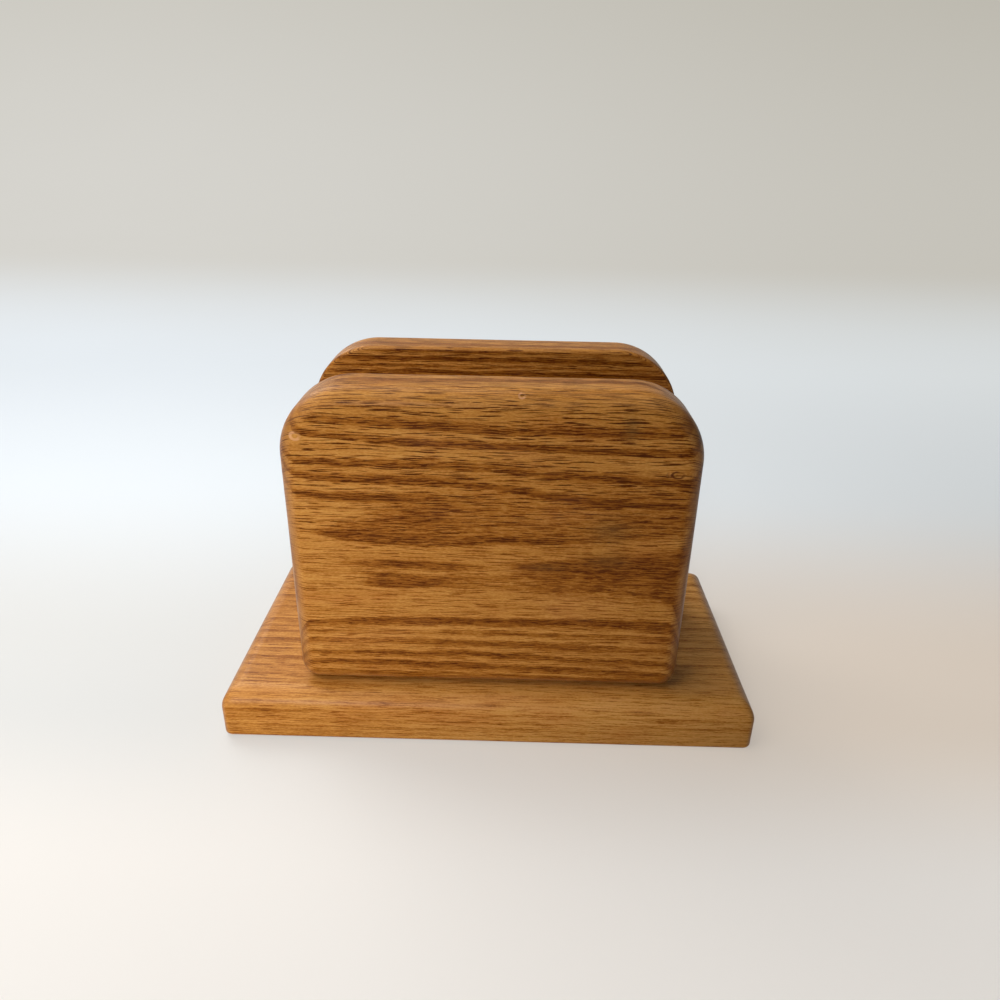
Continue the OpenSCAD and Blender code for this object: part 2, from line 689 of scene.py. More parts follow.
    def _streak(self, graph: NodeGraph, streak: Streak, along: Wire, height: Wire) -> Wire:
        """How dark one drawn band is at a place, 0 to 1.

        Args:
            graph: The material's nodes.
            streak: The band.
            along: Place along the grain.
            height: Height at which the place's year comes out at the face.

        Returns:
            The band's darkness.
        """
        half = self.reach / 2
        stops = [
            (x / self.span + 0.5, (near / self.reach + 0.5, far / self.reach + 0.5, strength, 1.0))
            for x, near, far, strength in streak.stops
        ]
        red, green, blue = graph.channels(graph.ramp(along / self.span + 0.5, stops))
        near = red * self.reach - half
        far = green * self.reach - half
        share = (height - near) / (far - near)
        return self.band_sharp.of(share) * self.band_soft.of(share) * blue

    def _banded(self, graph: NodeGraph, banding: Banding, height: Wire) -> Wire:
        """How dark the straight bands are at a height, 0 to 1.

        Args:
            graph: The material's nodes.
            banding: The bands.
            height: Height at which the place's year comes out at the face.

        Returns:
            The bands' darkness.
        """
        low = min(place - fade for place, fade, _ in banding.bands) - banding.margin
        high = max(place for place, _, _ in banding.bands) + banding.margin
        stops = [(0.0, BLACK)]
        for place, fade, strength in banding.bands:
            dark = (strength, strength, strength, 1.0)
            edges = ((place - fade, BLACK), (place - banding.sharp, dark), (place, BLACK))
            stops.extend(((at - low) / (high - low), shade) for at, shade in edges)
        share = (height - low) / (high - low)
        return graph.channels(graph.ramp(share, stops))[0]

    def _years(self, graph: NodeGraph, radius: Wire) -> Wire:
        """The early wood of the plain years, 0 to 1: a sharp start that fades outwards.

        Args:
            graph: The material's nodes.
            radius: Distance from the log's heart.

        Returns:
            The share of early wood.
        """
        count = radius / self.sawing.year
        phase = count.fraction()
        number = count - phase
        at = graph.join(number * self.year_cells + self.sawing.seed, 0.0, 0.0)
        luck = graph.noise(at, 1.0)
        return self.year_sharp.of(phase) * self.year_soft.of(phase) * self.year_luck.of(luck)

    def _early(self, graph: NodeGraph, place: Triple) -> Wire:
        """How far a place lies in the porous early wood of its year, 0 to 1.

        Args:
            graph: The material's nodes.
            place: Place along, across and into the board.

        Returns:
            The share of early wood.
        """
        sawing = self.sawing
        along, across, deep = place
        broad = self.broad.at(graph, place, sawing.seed)
        wave = self.wave.at(graph, place, sawing.seed)
        fine = self.fine.at(graph, place, sawing.seed)
        rough = wave.swing(self.ripple) + fine.swing(self.fray)
        down = sawing.heart_deep - deep
        plain = across - sawing.heart_across + broad.swing(self.sway)
        radius = (plain * plain + down * down).root() + rough
        years = self._years(graph, radius)
        off = across - sawing.heart_across + rough
        over = off * off + down * down - sawing.heart_deep * sawing.heart_deep
        height = over.most(0.0).root() * self.side.of(off) + sawing.heart_across
        total: Value = 0.0
        for banding in sawing.banding:
            total = self._banded(graph, banding, height + broad.swing(self.bow)).most(total)
        for streak in sawing.figure:
            total = self._streak(graph, streak, along, height).most(total)
        inside = self.inside.of(over)
        return total * (1.0 - inside) + years * inside

    def _dashes(self, graph: NodeGraph, layer: DashLayer, along: Wire, fan: Wire) -> Wire:
        """One layer of dashes.

        Args:
            graph: The material's nodes.
            layer: The layer's sizes.
            along: Place along the grain.
            fan: Place across, measured as the rays fan out from the log's heart.

        Returns:
            The strength of a dash, and 0 beside it.
        """
        shift = layer.shift + self.sawing.seed
        cells_along, cells_across = self.wobble_cells
        at = graph.join(along * cells_along + shift, fan * cells_across, shift)
        row = fan + graph.noise(at, 1.0).swing(self.wobble)
        u = along * (1 / layer.length) + shift
        v = row * (1 / layer.pitch) + shift
        cell = graph.cells(graph.join(u, v, 0.0))
        x, y = graph.split(graph.out(cell, "Position"))[:2]
        first, second, third = graph.channels(graph.out(cell, "Color"))
        least, more = self.dash_lengths
        du = (u - x) * layer.length / ((first * more + least) * layer.half_length)
        least, more = self.dash_widths
        dv = ((v - y) * layer.pitch / ((second * more + least) * layer.half_width)).size()
        shape = self.dash_rim.of(du * du + dv)
        least, more = self.dash_strengths
        shown = third.step(layer.share, layer.share - self.share_rim)
        return shape * shown * (second * more + least)

    @staticmethod
    def _spotted(spots: Sequence[Smudge], along: Wire, across: Wire) -> Value:
        """How strong a few soft spots are at a place.

        Args:
            spots: The spots.
            along: Place along the face.
            across: Place across the face.

        Returns:
            Their strength, and a plain 0 where there are none.
        """
        total: Value = 0.0
        for spot in spots:
            a = (along - spot.along) / spot.half_length
            b = (across - spot.across) / spot.half_height
            total = ((a * a + b * b) * -1.0).exp() * spot.strength + total
        return total

    def _ringed(self, graph: NodeGraph, along: Wire, across: Wire, base: Wire) -> Wire:
        """Lays the small round marks on a colour.

        Args:
            graph: The material's nodes.
            along: Place along the grain.
            across: Place across the board's width.
            base: The colour.

        Returns:
            The colour with the marks.
        """
        for ring in self.sawing.rings:
            a = (along - ring.along) / ring.half_length
            b = (across - ring.across) / ring.half_height
            off = (((a * a + b * b).root() - 1.0) * ring.half_height).size()
            side = self.ring_open.of(a + b * self.ring_tilt)
            share = off.step(ring.line, ring.line * self.ring_core) * side * ring.strength
            # A pale ring paints a nick's highlight
            base = graph.blend(share, base, self.pale_nick_and_highlight if ring.pale else self.bruise)
        return base

    def _wood(self, graph: NodeGraph, place: Triple) -> Wood:
        """Works out what the wood is like at a place.

        Args:
            graph: The material's nodes.
            place: Place along, across and into the board.

        Returns:
            The wood.
        """
        sawing = self.sawing
        along, across, deep = place
        fan = (across - sawing.fan_across) * sawing.fan_deep / (sawing.fan_deep - deep)
        early = self._early(graph, place)
        early = early * self.mottled.of(self.mottle.at(graph, place, sawing.seed))
        flecked = self._spotted(sawing.flecks, along, deep)
        if isinstance(flecked, Wire):
            rim = across.step(sawing.fleck_side + self.fleck_rim, sawing.fleck_side)
            early = early.most(flecked * rim)
        rays: Value = 0.0
        for layer in self.rays:
            rays = self._dashes(graph, layer, along, fan).most(rays)
        pores: Value = 0.0
        for layer in self.pores:
            pores = self._dashes(graph, layer, along, fan).most(pores)
        more = sawing.dash_high - sawing.dash_low
        rays = rays * (self.rays_up.of(across) * more + sawing.dash_low + self.rays_top.of(across))
        geometry = graph.add("ShaderNodeNewGeometry")
        normal = graph.split(graph.out(geometry, "Normal"))
        x, y, z = (part.size() for part in normal)
        end = self.end.of(x)
        turned = self.turned.of(x)
        edge = self.edge.of(x.most(y).most(z))
        pit = graph.cells(
            graph.join(across * self.pit_cells + sawing.seed, deep * self.pit_cells, 0.0)
        )
        pits = self.pit.of(graph.out(pit, "Distance"))
        pores = pores * (1.0 - end) + pits * end
        rays = rays * (1.0 - end * self.end_rays)
        fibre = self.fibre.at(graph, place, sawing.seed)
        return Wood(early, rays, pores, fibre, turned, edge, self.up.of(normal[2]))

    def _colour(self, graph: NodeGraph, place: Triple, wood: Wood) -> Wire:
        """Mixes the colour of a place.

        Args:
            graph: The material's nodes.
            place: Place along, across and into the board.
            wood: What the wood is like there.

        Returns:
            The colour.
        """
        sawing = self.sawing
        along, across = place[:2]
        grit = self.grit.at(graph, place, sawing.seed)
        streak = self.streak.at(graph, place, sawing.seed)
        cloud = self.cloud.at(graph, place, sawing.seed)
        dashes = (wood.rays * self.ray_dark).most(wood.pores * wood.early * self.pore_dark)
        dark = (
            wood.early * self.early_dark
            + dashes * self.grit_breaks.of(grit)
            + wood.fibre.swing(self.fibre_dark)
            + grit.swing(self.grit_dark)
            + streak.swing(self.streak_dark)
            + (self.ground_dark + sawing.tone)
            + self.left_end.of(along) * sawing.dark_end
        )
        base = graph.ramp(dark, self.shades)
        base = graph.blend(self.amber_share.of(cloud), base, self.amber, "MULTIPLY")
        base = graph.blend(self.rose_share.of(cloud), base, self.rose)
        # Darkens the round-overs towards the board's ends: partly end grain, partly painted shade
        base = graph.blend(wood.turned * self.end_stain_and_shade_share, base, self.end_stain_and_shade)
        # Paler rounded edges in patches: partly sanded-through wear, partly a painted sheen
        patch = self.rub_and_sheen_patch.of(self.rub_and_sheen_grain.at(graph, place, sawing.seed))
        base = graph.blend(wood.edge * patch * self.rub_and_sheen_share, base, self.rub_and_sheen)
        smudged = self._spotted(sawing.smudges, along, across)
        if isinstance(smudged, Wire):
            base = graph.blend(smudged, base, self.grey)
        return self._ringed(graph, along, across, base)

    def material(self) -> bpy.types.Material:
        """Builds the finish.

        Returns:
            The material.
        """
        graph = NodeGraph(bpy.data.materials.new(self.name))
        sawing = self.sawing
        parts = graph.place()
        along = parts[Axis.X.value]
        across = parts[sawing.across.value] - sawing.across_zero
        deep = (parts[sawing.deep.value] - sawing.deep_zero) * sawing.deep_sign
        place = (along, across, deep)
        wood = self._wood(graph, place)
        base = self._colour(graph, place, wood)
        open_pores = wood.pores * wood.early
        rough = (
            self.matt + open_pores * self.pore_matt + wood.rays * self.ray_matt
            + wood.fibre.swing(self.fibre_matt) - wood.edge * self.edge_gloss
        )
        peel = self.peel.at(graph, place, sawing.seed)
        height = (
            self.level - open_pores * self.pore_sink - wood.rays * self.ray_sink
            + wood.fibre.swing(self.fibre_rise) + peel.swing(self.peel_rise)
        )
        coat = (
            self.coat + wood.up * sawing.sheen + wood.turned * self.turned_coat
            - open_pores * self.pore_coat
        )
        sockets = {
            "Base Color": base,
            "Roughness": rough,
            "Specular IOR Level": self.specular,
            "Coat Weight": coat,
            "Coat Roughness": self.coat_rough,
            "Coat IOR": self.coat_index,
        }
        return graph.finish(sockets, height, self.relief)


@dataclass(frozen=True)
class ZincFinish:
    """Dull zinc plating with turning marks and a little grime."""

    name: str = "zinc_plate"
    bright: Colour = stain(196, 194, 188)
    dull: Colour = stain(150, 146, 136)
    grime: Colour = stain(84, 76, 62)
    patch: Grain = Grain((0.45, 0.45, 0.45), (0, 0, 0), 3.0)
    scratch: Grain = Grain((3.0, 9.0, 3.0), (0, 0, 0), 3.0)
    spangle_cells: float = 1.6
    dulled: Fade = Fade(0.3, 0.7)
    facet_share: float = 0.25
    grimed: Fade = Fade(0.6, 0.8, 0.0, 0.5)
    metallic: float = 0.9
    matt: float = 0.34
    patch_matt: float = 0.2
    facet_matt: float = 0.06
    scratch_rise: float = 0.5
    patch_rise: float = 0.3
    relief: float = 0.03 * MM

    def material(self) -> bpy.types.Material:
        """Builds the finish.

        Returns:
            The material.
        """
        graph = NodeGraph(bpy.data.materials.new(self.name))
        place = graph.place()
        patch = self.patch.at(graph, place, 0.0)
        scratch = self.scratch.at(graph, place, 0.0)
        spangle = graph.cells(graph.join(*(part * self.spangle_cells for part in place)), "3D")
        facet = graph.channels(graph.out(spangle, "Color"))[0]
        base = graph.blend(self.dulled.of(patch), self.bright, self.dull)
        base = graph.blend(facet * self.facet_share, base, self.dull)
        base = graph.blend(self.grimed.of(scratch), base, self.grime)
        rough = self.matt + patch * self.patch_matt + facet * self.facet_matt
        height = 0.5 + scratch.swing(self.scratch_rise) + patch.swing(self.patch_rise)
        sockets = {"Base Color": base, "Roughness": rough, "Metallic": self.metallic}
        return graph.finish(sockets, height, self.relief)


# How boards are cut


FIGURE_ZERO = 62.5  # height above the table from which the panels' figures count


def drawn(*stops: Tuple[float, float, float, float]) -> Streak:
    """A streak whose two heights are given above the table, on a panel's outer face."""
    return Streak(tuple(
        (x, near - FIGURE_ZERO, far - FIGURE_ZERO, strength) for x, near, far, strength in stops
    ))


FRONT_FIGURE = (
    drawn(
        (-66, 118.5, 122, 0.3), (-30, 117, 121.5, 0.6), (0, 115.5, 120, 0.65),
        (60, 115.5, 120, 0.75),
    ),
    drawn(
        (-66, 115.5, 118, 0.6), (-55, 113.2, 116, 0.95), (-30, 111.4, 115, 1.0),
        (0, 110.5, 114, 0.95), (60, 109, 112.5, 0.95),
    ),
    drawn(
        (-66, 105, 108, 0.6), (-50, 103.6, 107.5, 0.9), (-20, 103.6, 107.5, 0.8),
        (0, 102.6, 106.5, 0.75), (30, 100.6, 104.5, 0.75), (60, 99, 103, 0.85),
    ),
    drawn(
        (-66, 100, 103, 0.6), (-50, 98.3, 102, 1.0), (-20, 98, 101.8, 0.95), (0, 96.6, 100, 1.0),
        (30, 92, 96.5, 0.95), (60, 90.8, 95, 0.95),
    ),
    drawn(
        (-66, 93.5, 97, 0.5), (-50, 91.6, 96, 0.95), (-33, 91.4, 96, 0.9), (-20, 92, 97, 0.7),
        (-6, 92, 97, 0.0),
    ),
    drawn(
        (-60, 80.3, 81.5, 0.0), (-54, 79, 82.5, 0.75), (-46, 77, 87, 0.8), (-38, 75.8, 92, 0.78),
        (-30, 75.6, 99, 0.68), (-20, 75.8, 104, 0.54), (-10, 76.6, 106, 0.42), (2, 77, 106, 0.36),
        (20, 77.4, 105, 0.36), (34, 78.2, 104, 0.42), (50, 79.5, 104, 0.5), (66, 84, 108, 0.5),
    ),
    drawn(
        (-52, 78.5, 82, 0.0), (-42, 76.2, 82, 0.9), (-20, 75.6, 82, 0.95), (0, 77, 81.8, 0.95),
        (20, 77.6, 81, 0.8), (40, 78.6, 81.5, 0.4), (56, 81, 84, 0.5), (66, 85, 88, 0.5),
    ),
    drawn(
        (-37, 83, 88, 0.0), (-29, 83.6, 92, 0.8), (-18, 84, 93, 0.85), (-8, 84, 91, 0.2),
        (0, 84, 90, 0.0),
    ),
    drawn(
        (4, 70.8, 64, 0.0), (12, 70.6, 60, 0.8), (24, 71, 57, 0.85), (36, 73, 55, 0.95),
        (50, 73.8, 52, 0.9), (60, 75, 51, 0.9), (66, 77, 50, 0.85),
    ),
    drawn(
        (6, 62, 68, 0.0), (20, 61, 70, 0.6), (40, 60, 71, 0.75), (55, 58.4, 71, 0.8),
        (66, 55, 70, 0.75),
    ),
    drawn(
        (-52, 69.4, 66, 0.0), (-44, 69.6, 65.5, 0.6), (-36, 70.2, 65, 0.9), (-12, 70, 65, 0.8),
        (-4, 68.6, 65, 0.35), (6, 68, 65, 0.0),
    ),
    drawn(
        (-44, 62.2, 65, 0.0), (-38, 61.6, 65.5, 0.75), (-22, 61.5, 65.6, 0.8),
        (-12, 62, 65.5, 0.5), (0, 62.5, 66, 0.3), (10, 62.5, 66, 0.5),
    ),
    drawn(
        (-66, 46, 42, 0.7), (-40, 48, 43.6, 0.95), (-12, 48.5, 44, 0.95), (10, 48.8, 44.6, 0.9),
        (26, 49.2, 44.6, 1.0), (44, 49, 44, 0.95), (66, 48.5, 42, 0.85),
    ),
    drawn((-66, 42.5, 40, 0.4), (0, 43.2, 40.5, 0.45), (66, 43, 40, 0.5)),
    drawn((-66, 39, 36, 0.5), (-20, 39.3, 36, 0.6), (20, 38.8, 35, 0.7), (66, 37.6, 34, 0.5)),
    drawn(
        (-66, 34, 31, 0.6), (-26, 34, 30.6, 0.75), (-8, 35.2, 31, 0.9), (22, 33.2, 29.4, 0.75),
        (66, 32, 28, 0.7),
    ),
    drawn(
        (-66, 29.6, 26.4, 0.75), (-34, 30.2, 26.6, 0.8), (-16, 29.6, 26, 0.9),
        (30, 28.6, 25, 0.85), (66, 27, 23, 0.85),
    ),
    drawn((-66, 25.4, 22.6, 0.5), (0, 25.2, 22.2, 0.6), (66, 24, 21, 0.6)),
)

BASE_BANDS = (
    Banding((
        (-88.0, 3.0, 0.4), (-81.5, 2.5, 0.3), (-75.5, 2.6, 0.34), (-68.0, 2.8, 0.42),
        (-60.5, 2.6, 0.38), (-53.0, 2.0, 0.28), (-47.5, 2.2, 0.25), (-40.5, 2.0, 0.32),
    )),
    Banding((
        (-35.5, 2.4, 0.34), (-30.5, 2.8, 0.5), (-25.5, 3.6, 0.62), (-20.6, 2.2, 0.5),
        (-14.5, 4.2, 0.62), (-9.0, 2.6, 0.55), (-5.6, 2.0, 0.45), (-0.5, 3.6, 0.6),
    )),
    Banding((
        (8.4, 3.0, 0.62), (11.8, 1.8, 0.35), (17.5, 3.0, 0.5), (23.8, 3.8, 0.65), (28.6, 2.4, 0.5),
        (34.4, 4.0, 0.7), (40.0, 2.4, 0.4),
    )),
)

BASE_FLECKS = (
    Smudge(-80.0, 6.7, 5.0, 0.72, 0.65),
    Smudge(-38.0, 3.2, 5.0, 0.64, 0.65),
    Smudge(-20.0, 5.8, 8.0, 0.72, 0.68),
    Smudge(-19.0, 2.2, 5.0, 0.64, 0.58),
    Smudge(1.0, 3.0, 6.0, 0.64, 0.61),
    Smudge(38.0, 4.0, 5.0, 0.64, 0.58),
    Smudge(54.0, 4.2, 6.0, 0.72, 0.68),
    Smudge(65.0, 7.2, 6.0, 0.72, 0.65),
    Smudge(57.0, 9.6, 5.0, 0.64, 0.58),
    Smudge(-52.0, 11.0, 9.0, 0.64, 0.43),
    Smudge(12.0, 12.4, 10.0, 0.64, 0.43),
)

REAR_FIGURE = (
    drawn((-66, 121, 118, 0.5), (0, 120, 117.4, 0.6), (66, 120, 117.5, 0.5)),
    drawn(
        (-48, 115.3, 113.2, 0.0), (-40, 115.3, 113.2, 0.8), (0, 115.2, 113.2, 0.75),
        (8, 115.2, 113.2, 0.1), (66, 114.6, 112.8, 0.4),
    ),
    drawn(
        (-66, 112.2, 109.2, 0.6), (-50, 112.1, 109.2, 0.95), (30, 112, 109.2, 0.95),
        (66, 111.4, 109, 0.6),
    ),
    drawn((-66, 108.2, 106.6, 0.5), (0, 108.3, 106.6, 0.55), (66, 107.6, 106, 0.6)),
    drawn(
        (-66, 105.6, 102.6, 0.7), (-10, 105.8, 102.6, 0.95), (40, 105.6, 102.6, 0.95),
        (66, 104.8, 102, 0.6),
    ),
    drawn((-66, 100, 96.6, 0.8), (-20, 98.5, 95, 0.9), (20, 97, 93.2, 0.9), (66, 97.5, 94.4, 0.8)),
    drawn(
        (-66, 94.4, 91.8, 0.6), (-10, 91.4, 88.4, 0.8), (30, 90.8, 87.8, 0.7),
        (66, 92.4, 89.9, 0.6),
    ),
    drawn((-66, 89.5, 85.5, 0.85), (-30, 86.5, 82.8, 0.9), (10, 83.6, 80, 0.9), (66, 86, 82, 0.8)),
    drawn((-66, 83.6, 80.6, 0.7), (-24, 79, 76, 0.7), (14, 76.9, 74, 0.8), (66, 79.6, 76.6, 0.7)),
    drawn(
        (-66, 78, 73, 0.8), (-38, 73.6, 69.4, 0.85), (-4, 70.6, 67.6, 0.9), (22, 70.4, 67.6, 0.9),
        (66, 73.4, 69, 0.85),
    ),
    drawn(
        (-66, 70.4, 67, 0.6), (-44, 67.8, 65, 0.7), (-10, 64.6, 62, 0.0), (30, 64.5, 62, 0.0),
        (46, 65.6, 62.6, 0.7), (66, 67, 63.8, 0.7),
    ),
    drawn(
        (-66, 49, 55, 0.85), (-34, 51.6, 59, 0.8), (-6, 54.4, 62, 0.75), (24, 54.2, 63, 0.8),
        (48, 52, 59, 0.8), (66, 50, 55.6, 0.8),
    ),
    drawn(
        (-66, 42.6, 45.4, 0.7), (-10, 46.8, 49.6, 0.8), (26, 46.8, 49.6, 0.8),
        (66, 43.4, 46.2, 0.7),
    ),
    drawn((-66, 36.6, 40, 0.85), (0, 39.4, 43, 0.9), (66, 37.4, 41, 0.85)),
    drawn((-66, 31.4, 33.8, 0.6), (0, 33.4, 35.6, 0.6), (66, 32, 34.2, 0.6)),
    drawn((-66, 25.4, 29, 0.8), (0, 27, 30.6, 0.85), (66, 26, 29.6, 0.8)),
    drawn((-66, 20.4, 23, 0.7), (66, 21, 23.6, 0.7)),
)

FRONT_SMUDGES = (
    Smudge(39.0, 20.5, 7.0, 4.5, 0.34),
    Smudge(39.0, 9.5, 8.0, 3.0, 0.25),
    Smudge(19.0, 6.5, 7.0, 1.8, 0.25),
    Smudge(43.0, 56.0, 2.4, 4.4, 0.38),
)

# The pale rings are a dent and a nick, each with a painted highlight on its rim
FRONT_RINGS = (
    Ring(58.8, 40.9, 1.9, 1.1, 0.36, 0.85),
    Ring(9.2, 64.9, 0.9, 0.6, 0.3, 0.5, True),
    Ring(-60.9, 51.0, 1.5, 1.1, 0.55, 0.55, True),
)


@dataclass(frozen=True)
class BoardCuts:
    """The three boards' places in the log, in mm of the row frame."""

    front: Sawing = Sawing(
        across=Axis.Z, across_zero=FIGURE_ZERO, deep=Axis.Y, deep_zero=-41.2, deep_sign=1.0,
        heart_deep=60.0, heart_across=0.0, fan_across=0.0, year=2.6, seed=4.2, tone=0.07,
        dash_low=0.66, dash_high=1.4, figure=FRONT_FIGURE, smudges=FRONT_SMUDGES,
        rings=FRONT_RINGS,
    )
    rear: Sawing = Sawing(
        across=Axis.Z, across_zero=FIGURE_ZERO, deep=Axis.Y, deep_zero=31.4, deep_sign=-1.0,
        heart_deep=52.0, heart_across=-4.5, fan_across=-4.5, year=2.4, seed=23.6, tone=0.12,
        dash_low=0.8, dash_high=1.0, figure=REAR_FIGURE, sheen=0.2,
    )
    base: Sawing = Sawing(
        across=Axis.Y, across_zero=0.0, deep=Axis.Z, deep_zero=19.0, deep_sign=-1.0,
        heart_deep=190.0, heart_across=-150.0, fan_across=0.0, year=2.6, seed=47.9, tone=-0.06,
        dash_low=0.55, dash_high=0.75, banding=BASE_BANDS, flecks=BASE_FLECKS,
        fleck_side=-45.0, sheen=0.18, dark_end=0.15,
    )


# Modelling


Test = Callable[[Vector, Vector], bool]


class Bench:
    """The workbench: the few modelling steps that the pieces share."""

    @staticmethod
    def clear() -> None:
        """Leaves edit mode and deselects everything."""
        if bpy.context.object and bpy.context.object.mode != "OBJECT":
            bpy.ops.object.mode_set(mode="OBJECT")
        bpy.ops.object.select_all(action="DESELECT")

    @classmethod
    def take(cls, piece: bpy.types.Object) -> None:
        """Makes a piece the only one that is selected.

        Args:
            piece: The object.
        """
        cls.clear()
        bpy.context.view_layer.objects.active = piece
        piece.select_set(True)

    @classmethod
    def block(cls, name: str, low: Point, high: Point) -> bpy.types.Object:
        """Adds a rectangular block and leaves it in edit mode.

        Args:
            name: The piece's name.
            low: Its lowest corner, in metres.
            high: Its highest corner, in metres.

        Returns:
            The new object, which sits at the origin.
        """
        cls.clear()
        size = [b - a for a, b in zip(low, high)]
        centre = [(a + b) / 2 for a, b in zip(low, high)]
        bpy.ops.mesh.primitive_cube_add(size=1.0, location=centre)
        piece = bpy.context.object
        piece.name = name
        piece.data.name = name
        piece.scale = size
        bpy.ops.object.transform_apply(location=True, rotation=True, scale=True)
        bpy.ops.object.mode_set(mode="EDIT")
        return piece

    @staticmethod
    def pick_edges(piece: bpy.types.Object, wanted: Test) -> None:
        """Selects the edges whose two ends pass a test.

        Args:
            piece: The object in edit mode.
            wanted: The test on an edge's two ends.
        """
        bpy.ops.mesh.select_mode(type="EDGE")
        bpy.ops.mesh.select_all(action="DESELECT")
        mesh = bmesh.from_edit_mesh(piece.data)
        for edge in mesh.edges:
            if wanted(edge.verts[0].co, edge.verts[1].co):
                edge.select_set(True)
        bmesh.update_edit_mesh(piece.data)

    @staticmethod
    def pick_faces(piece: bpy.types.Object, wanted: Test) -> None:
        """Selects the faces whose centre and normal pass a test.

        Args:
            piece: The object in edit mode.
            wanted: The test on a face's centre and normal.
        """
        bpy.ops.mesh.select_mode(type="FACE")
        bpy.ops.mesh.select_all(action="DESELECT")
        mesh = bmesh.from_edit_mesh(piece.data)
        mesh.normal_update()
        for face in mesh.faces:
            if wanted(face.calc_center_median(), face.normal):
                face.select_set(True)
        bmesh.update_edit_mesh(piece.data)

    @staticmethod
    def round_over(radius: float, segments: int) -> None:
        """Rounds the selected edges.

        Args:
            radius: Radius, in metres.
            segments: How many facets the rounding has.
        """
        bpy.ops.mesh.bevel(
            offset=radius, offset_type="OFFSET", segments=segments, profile=0.5,
            affect="EDGES", clamp_overlap=False,
        )

    @staticmethod
    def grow(rise: float, scale: Tuple[float, float], centre: Point) -> None:
        """Extrudes the selected face up or down and draws its outline in.

        Args:
            rise: How far the new face moves along Z, in metres.
            scale: Its new size along X and Y, as shares of the old.
            centre: The centre that it is scaled about.
        """
        bpy.ops.mesh.extrude_region_move(TRANSFORM_OT_translate={"value": (0.0, 0.0, rise)})
        bpy.ops.transform.resize(value=(scale[0], scale[1], 1.0), center_override=centre)

    @staticmethod
    def slice_grid(axis: Axis, low: float, high: float, pitch: float) -> None:
        """Cuts the whole piece by parallel planes, so that its faces are a fine grid.

        Args:
            axis: The planes' normal.
            low: Where the cuts may start, in metres.
            high: Where they end, in metres.
            pitch: About how far apart they are, in metres.
        """
        count = max(1, round((high - low) / pitch))
        normal = [0.0, 0.0, 0.0]
        normal[axis.value] = 1.0
        for index in range(1, count):
            centre = [0.0, 0.0, 0.0]
            centre[axis.value] = low + (high - low) * index / count
            bpy.ops.mesh.select_all(action="SELECT")
            bpy.ops.mesh.bisect(plane_co=centre, plane_no=normal)

    @classmethod
    def carve(cls, piece: bpy.types.Object, cutter: bpy.types.Object) -> None:
        """Takes the cutter's space out of the piece and deletes the cutter.

        Args:
            piece: The object that is cut.
            cutter: A closed solid.
        """
        cls.take(piece)
        cut = piece.modifiers.new("carve", "BOOLEAN")
        cut.operation = "DIFFERENCE"
        cut.solver = "EXACT"
        cut.object = cutter
        bpy.ops.object.modifier_apply(modifier=cut.name)
        bpy.data.objects.remove(cutter, do_unlink=True)

    @classmethod
    def sand(cls, piece: bpy.types.Object, depth: float, wavelength: float) -> None:
        """Gives the surface the faint waves of hand sanding. It only takes wood off.

        Args:
            piece: The object.
            depth: The deepest hollow, in metres.
            wavelength: How far apart the hollows are, in metres.
        """
        cls.take(piece)
        waves = bpy.data.textures.new(f"{piece.name}_sanding", "CLOUDS")
        waves.noise_scale = wavelength
        waves.noise_depth = 1
        sanding = piece.modifiers.new("sanding", "DISPLACE")
        sanding.texture = waves
        sanding.texture_coords = "LOCAL"
        sanding.strength = depth
        sanding.mid_level = 1.0
        bpy.ops.object.modifier_apply(modifier=sanding.name)

    @classmethod
    def close(cls, piece: bpy.types.Object, angle: float = 35.0) -> None:
        """Merges doubles, turns the faces outwards and smooths the shading.

        Args:
            piece: The object.
            angle: Edges sharper than this stay sharp, in degrees.
        """
        cls.take(piece)
        bpy.ops.object.mode_set(mode="EDIT")
        bpy.ops.mesh.select_all(action="SELECT")
        bpy.ops.mesh.remove_doubles(threshold=2 * NEAR)
        bpy.ops.mesh.normals_make_consistent(inside=False)
        bpy.ops.object.mode_set(mode="OBJECT")
        bpy.ops.object.shade_smooth_by_angle(angle=math.radians(angle))

    @staticmethod
    def dress(piece: bpy.types.Object, material: bpy.types.Material) -> None:
        """Puts one material all over a piece."""
        piece.data.materials.clear()
        piece.data.materials.append(material)


